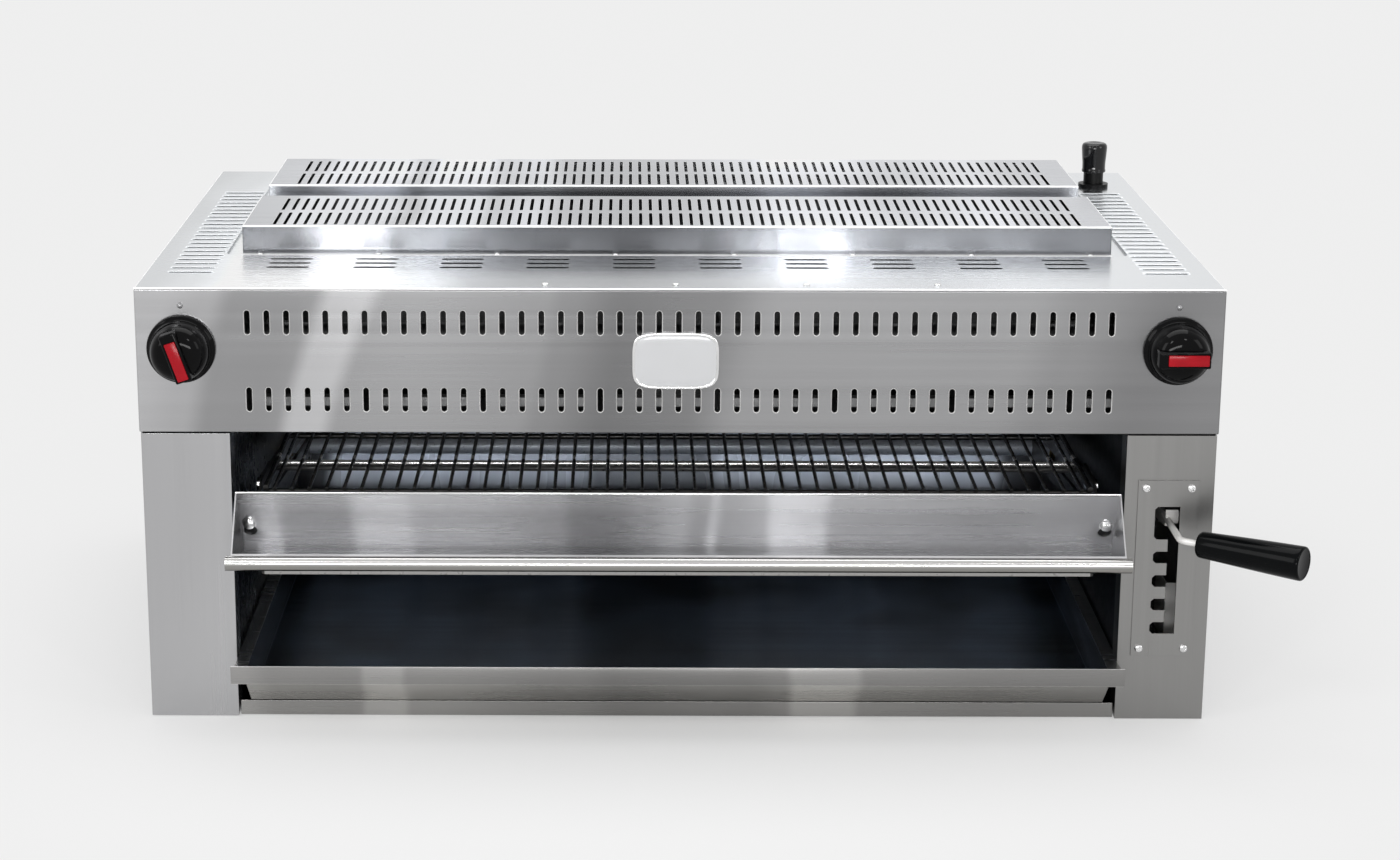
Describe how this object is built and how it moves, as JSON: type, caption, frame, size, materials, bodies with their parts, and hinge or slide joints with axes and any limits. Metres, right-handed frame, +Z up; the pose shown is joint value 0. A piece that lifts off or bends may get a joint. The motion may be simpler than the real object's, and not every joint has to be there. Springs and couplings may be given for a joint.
{
  "type": "cheese melter",
  "caption": "Wide stainless gas broiler with a lever-raised wire rack, front ledge, slide-out drip tray and slotted hood and vents.",
  "frame": {"origin": "centre of the cabinet's footprint, on the underside of the base pan", "axes": "+X to the right seen from the front, +Y to the back, +Z up"},
  "size_m": [0.9768, 0.6679, 0.424],
  "materials": {
    "stainless": "brushed stainless sheet",
    "polished_stainless": "bright rolled stainless edge",
    "tray_steel": "stainless sheet, darkened by heat inside",
    "dark_steel": "heat-darkened steel sheet",
    "rack_chrome": "chromed wire, browned by heat",
    "bright_steel": "bright zinc-plated steel",
    "black_plastic": "glossy black phenolic",
    "red_plastic": "glossy red pointer",
    "black_rubber": "matt black",
    "gas_brass": "machined brass",
    "gas_pipe": "plain steel tube",
    "tile_ceramic": "porous burner ceramic",
    "badge_enamel": "blank glossy white plate"
  },
  "bodies": {
    "cabinet": {"hood_front": "stainless", "top_panel": "stainless", "side_panel_left": "stainless", "side_panel_right": "stainless", "front_column_left": "stainless", "front_column_right": "stainless", "rear_panel": "stainless", "base_pan": "stainless", "inner_wall_left": "dark_steel", "inner_wall_right": "dark_steel", "inner_back": "dark_steel", "burner_deck": "dark_steel", "vent_well": "stainless", "vent_box_front": "stainless", "vent_box_rear": "stainless", "gas_valve_left": "gas_brass", "gas_valve_right": "gas_brass", "gas_manifold": "gas_pipe", "gas_inlet_pipe": "gas_pipe", "pipe_union": "gas_brass", "supply_tubes": "gas_pipe", "gas_jets": "gas_brass", "inlet_collar": "black_rubber", "burner_left": "dark_steel", "burner_right": "dark_steel", "burner_tiles": "tile_ceramic", "notched_plate": "stainless", "plate_screws": "bright_steel", "lever_guide": "stainless", "shaft_bushes": "gas_brass", "steady_pins": "bright_steel", "tray_runners": "stainless", "name_plate_blank": "badge_enamel", "index_studs": "bright_steel"},
    "knob_left": {"knob_left": "black_plastic", "knob_insert_left": "red_plastic", "valve_stem_left": "gas_brass"},
    "knob_right": {"knob_right": "black_plastic", "knob_insert_right": "red_plastic", "valve_stem_right": "gas_brass"},
    "lift": {"torque_shaft": "bright_steel", "lever_yoke": "bright_steel", "lever_hinge_pin": "bright_steel", "lift_arm_left": "dark_steel", "lift_arm_right": "dark_steel"},
    "lever": {"lever_arm": "bright_steel", "lever_grip": "black_plastic"},
    "carriage": {"carriage_side_left": "stainless", "carriage_side_right": "stainless", "carriage_pins": "bright_steel", "carriage_bars": "stainless", "wire_rack": "rack_chrome", "ledge_trough": "stainless", "ledge_studs": "bright_steel", "ledge_rail": "polished_stainless", "rail_caps": "black_rubber"},
    "steady_arms": {"steady_arm_left": "dark_steel", "steady_arm_right": "dark_steel"},
    "drip_tray": {"drip_tray": "tray_steel"},
    "inlet_cap": {"inlet_cap": "black_rubber"}
  },
  "joints": [
    {"name": "left_knob_turn", "type": "hinge", "parent": "cabinet", "child": "knob_left", "pos_m": [-0.4184, -0.281, 0.328], "axis": [0, 1, 0], "range_deg": [-161, 19]},
    {"name": "right_knob_turn", "type": "hinge", "parent": "cabinet", "child": "knob_right", "pos_m": [0.4184, -0.281, 0.328], "axis": [0, 1, 0], "range_deg": [-90, 90]},
    {"name": "rack_lift", "type": "hinge", "parent": "cabinet", "child": "lift", "pos_m": [0, 0.145, 0.1274], "axis": [1, 0, 0], "range_deg": [0, 12.05]},
    {"name": "carriage_level", "type": "hinge", "parent": "lift", "child": "carriage", "pos_m": [0, -0.228, 0.16604], "axis": [1, 0, 0], "range_deg": [-12.05, 0]},
    {"name": "steady_swing", "type": "hinge", "parent": "cabinet", "child": "steady_arms", "pos_m": [0, 0.145, 0.1554], "axis": [1, 0, 0], "range_deg": [0, 12.05]},
    {"name": "lever_release", "type": "hinge", "parent": "lift", "child": "lever", "pos_m": [0.4228, 0.117, 0.1274], "axis": [0, 0, 1], "range_deg": [-1.9, 0]},
    {"name": "tray_slide", "type": "slide", "parent": "cabinet", "child": "drip_tray", "axis": [0, -1, 0], "range_m": [0, 0.3]},
    {"name": "cap_pull", "type": "slide", "parent": "cabinet", "child": "inlet_cap", "axis": [0, 0, 1], "range_m": [0, 0.06]}
  ],
  "couplings": [
    {"joint": "carriage_level", "follows": "rack_lift", "ratio": -1},
    {"joint": "steady_swing", "follows": "rack_lift", "ratio": 1}
  ]
}
